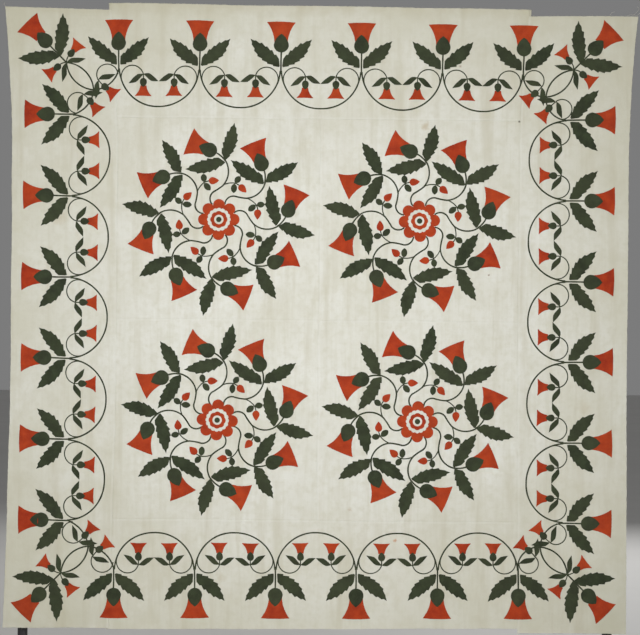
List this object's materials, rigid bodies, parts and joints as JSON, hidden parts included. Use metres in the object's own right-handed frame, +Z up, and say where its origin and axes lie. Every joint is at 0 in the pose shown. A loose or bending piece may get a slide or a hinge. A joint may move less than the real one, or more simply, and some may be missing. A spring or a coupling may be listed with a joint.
{
  "type": "quilt on a display rack",
  "caption": "Applique quilt top hanging by a back sleeve from the rail of a telescoping, free-standing display rack.",
  "frame": {"origin": "middle of the footprint on the floor", "axes": "+Z up; the quilt faces -Y; +X along the rail, to the right as seen from the front"},
  "size_m": [2.2014, 0.64, 2.3349],
  "materials": {
    "muslin": "plain-weave cotton, unbleached, lightly stained with age",
    "sleeve_cloth": "plain-weave cotton, newer than the quilt",
    "turkey_red": "plain-weave cotton dyed red",
    "leaf_green": "plain-weave cotton dyed dark green",
    "black_steel": "matt powder coat, fine texture",
    "black_cast": "matt paint on cast metal",
    "black_plastic": "moulded, fine grain",
    "foot_rubber": "matt",
    "bright_steel": "zinc plated"
  },
  "bodies": {
    "base": {"mast_outer_left": "black_steel", "mast_outer_right": "black_steel", "collar_left": "black_plastic", "collar_right": "black_plastic", "spreader_tube": "black_steel", "spreader_clamps": "black_plastic", "spreader_bolts": "bright_steel", "pivot_bolts": "bright_steel"},
    "mast": {"mast_inner_left": "black_steel", "mast_inner_right": "black_steel", "stop_rings": "black_plastic", "cradle_left": "black_cast", "cradle_right": "black_cast", "rail_left": "black_steel", "rail_right": "black_steel", "rail_joiner": "bright_steel", "rail_end_caps": "black_plastic"},
    "quilt": {"top_left_block": "muslin", "top_right_block": "muslin", "bottom_left_block": "muslin", "bottom_right_block": "muslin", "border_left": "muslin", "border_right": "muslin", "border_top": "muslin", "border_bottom": "muslin", "hanging_sleeve": "sleeve_cloth", "top_left_wreath_flowers": "turkey_red", "top_left_wreath_leaves": "leaf_green", "top_left_wreath_stems": "leaf_green", "top_right_wreath_flowers": "turkey_red", "top_right_wreath_leaves": "leaf_green", "top_right_wreath_stems": "leaf_green", "bottom_left_wreath_flowers": "turkey_red", "bottom_left_wreath_leaves": "leaf_green", "bottom_left_wreath_stems": "leaf_green", "bottom_right_wreath_flowers": "turkey_red", "bottom_right_wreath_leaves": "leaf_green", "bottom_right_wreath_stems": "leaf_green", "vine_top_flowers": "turkey_red", "vine_top_leaves": "leaf_green", "vine_top_vines": "leaf_green", "vine_left_flowers": "turkey_red", "vine_left_leaves": "leaf_green", "vine_left_vines": "leaf_green", "vine_bottom_flowers": "turkey_red", "vine_bottom_leaves": "leaf_green", "vine_bottom_vines": "leaf_green", "vine_right_flowers": "turkey_red", "vine_right_leaves": "leaf_green", "vine_right_vines": "leaf_green", "rosette_rings": "muslin"},
    "latch_left": {"keeper_left": "black_cast"},
    "latch_right": {"keeper_right": "black_cast"},
    "knob_left": {"lock_knob_left": "black_plastic"},
    "knob_right": {"lock_knob_right": "black_plastic"},
    "leg_left": {"foot_left": "black_steel", "foot_caps_left": "foot_rubber"},
    "leg_right": {"foot_right": "black_steel", "foot_caps_right": "foot_rubber"}
  },
  "joints": [
    {"name": "mast_lift", "type": "slide", "parent": "base", "child": "mast", "axis": [0, 0, 1], "range_m": [0, 0.35]},
    {"name": "quilt_swing", "type": "hinge", "parent": "mast", "child": "quilt", "pos_m": [0, 0, 2.266], "axis": [-1, 0, 0], "range_deg": [-0.5, 20]},
    {"name": "latch_left_open", "type": "hinge", "parent": "mast", "child": "latch_left", "pos_m": [-1.03, 0.024, 2.272], "axis": [-1, 0, 0], "range_deg": [0, 110]},
    {"name": "knob_left_turn", "type": "hinge", "parent": "base", "child": "knob_left", "pos_m": [-1.03, 0.096, 1.263], "axis": [0, 1, 0], "range_deg": [0, 270]},
    {"name": "leg_left_swivel", "type": "hinge", "parent": "base", "child": "leg_left", "pos_m": [-1.03, 0.06, 0.04], "axis": [0, 0, 1], "range_deg": [0, 90]},
    {"name": "latch_right_open", "type": "hinge", "parent": "mast", "child": "latch_right", "pos_m": [1.03, 0.024, 2.272], "axis": [-1, 0, 0], "range_deg": [0, 110]},
    {"name": "knob_right_turn", "type": "hinge", "parent": "base", "child": "knob_right", "pos_m": [1.03, 0.096, 1.263], "axis": [0, 1, 0], "range_deg": [0, 270]},
    {"name": "leg_right_swivel", "type": "hinge", "parent": "base", "child": "leg_right", "pos_m": [1.03, 0.06, 0.04], "axis": [0, 0, 1], "range_deg": [-90, 0]}
  ]
}
